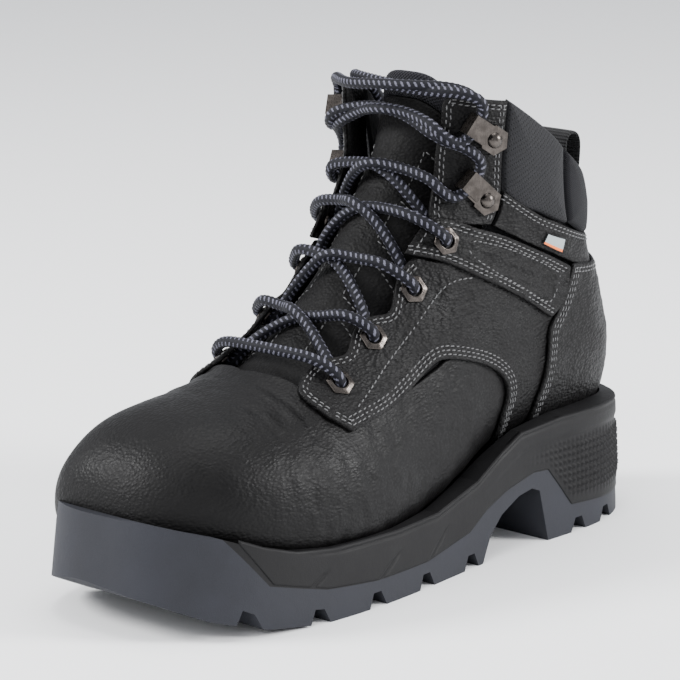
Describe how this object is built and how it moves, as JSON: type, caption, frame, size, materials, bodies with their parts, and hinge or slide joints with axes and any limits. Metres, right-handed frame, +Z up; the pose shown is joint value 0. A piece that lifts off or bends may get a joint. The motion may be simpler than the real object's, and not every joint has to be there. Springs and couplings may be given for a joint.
{
  "type": "steel toe work boot",
  "caption": "Left lace-up ankle work boot with a steel toe cap, leather upper, eyelets, speed hooks, padded collar and tongue, lugged sole and heel pull loop.",
  "frame": {"origin": "middle of the box of the boot, on the ground plane under the tread", "axes": "+Z up, -Y towards the toe, +X towards the outer side of the foot"},
  "size_m": [0.1152, 0.2997, 0.2002],
  "materials": {
    "black_leather": "oiled full-grain leather, satin, pebbled",
    "smooth_leather": "smooth black leather, satin",
    "lining_textile": "dark grey mesh lining",
    "collar_textile": "charcoal padded textile",
    "tongue_textile": "black ribbed textile",
    "lace_cord": "round woven lace, navy and black with pale flecks",
    "black_webbing": "black woven webbing",
    "label_weave": "woven label",
    "gunmetal": "dark bronze-grey plated metal",
    "toe_steel": "coated steel",
    "outsole_rubber": "slate grey moulded rubber, matt",
    "midsole_foam": "charcoal moulded foam, matt",
    "board": "fibre board",
    "footbed_foam": "foam with textile top",
    "clear_tip": "black plastic tip",
    "edge_trim": "soft rubber edge"
  },
  "bodies": {
    "boot": {"outsole": "outsole_rubber", "midsole": "midsole_foam", "insole_board": "board", "steel_toe_cap": "toe_steel", "toe_cap_edge_trim": "edge_trim", "vamp": "smooth_leather", "toe_lining": "lining_textile", "quarter_lining": "lining_textile", "heel_stiffener": "board", "heel_counter_cover": "black_leather", "collar_band": "black_leather", "collar_back_pad": "collar_textile", "lace": "lace_cord", "aglets": "clear_tip", "pull_loop_tab": "black_webbing", "label_tag": "label_weave", "quarter_lateral": "black_leather", "ankle_strap_lateral": "black_leather", "hook_panel_lateral": "black_leather", "collar_pad_lateral": "collar_textile", "gusset_lateral": "black_leather", "eyelets_lateral": "gunmetal", "lace_hooks_lateral": "gunmetal", "hook_rivets_lateral": "gunmetal", "quarter_medial": "black_leather", "ankle_strap_medial": "black_leather", "hook_panel_medial": "black_leather", "collar_pad_medial": "collar_textile", "gusset_medial": "black_leather", "eyelets_medial": "gunmetal", "lace_hooks_medial": "gunmetal", "hook_rivets_medial": "gunmetal"},
    "tongue": {"tongue_face": "black_leather", "tongue_top": "tongue_textile", "tongue_pad": "tongue_textile"},
    "footbed": {"footbed": "footbed_foam"},
    "pull_loop": {"pull_loop": "black_webbing"}
  },
  "joints": [
    {"name": "tongue_tilt", "type": "hinge", "parent": "boot", "child": "tongue", "pos_m": [0, -0.052, 0.083], "axis": [1, 0, 0], "range_deg": [-5, 0], "stiffness_Nm_per_rad": 0.5},
    {"name": "footbed_lift", "type": "hinge", "parent": "boot", "child": "footbed", "pos_m": [0, -0.128, 0.036], "axis": [1, 0, 0], "range_deg": [0, 5]},
    {"name": "pull_loop_swing", "type": "hinge", "parent": "boot", "child": "pull_loop", "pos_m": [0, 0.1268, 0.1462], "axis": [1, 0, 0], "range_deg": [-30, 10], "stiffness_Nm_per_rad": 0.01}
  ]
}
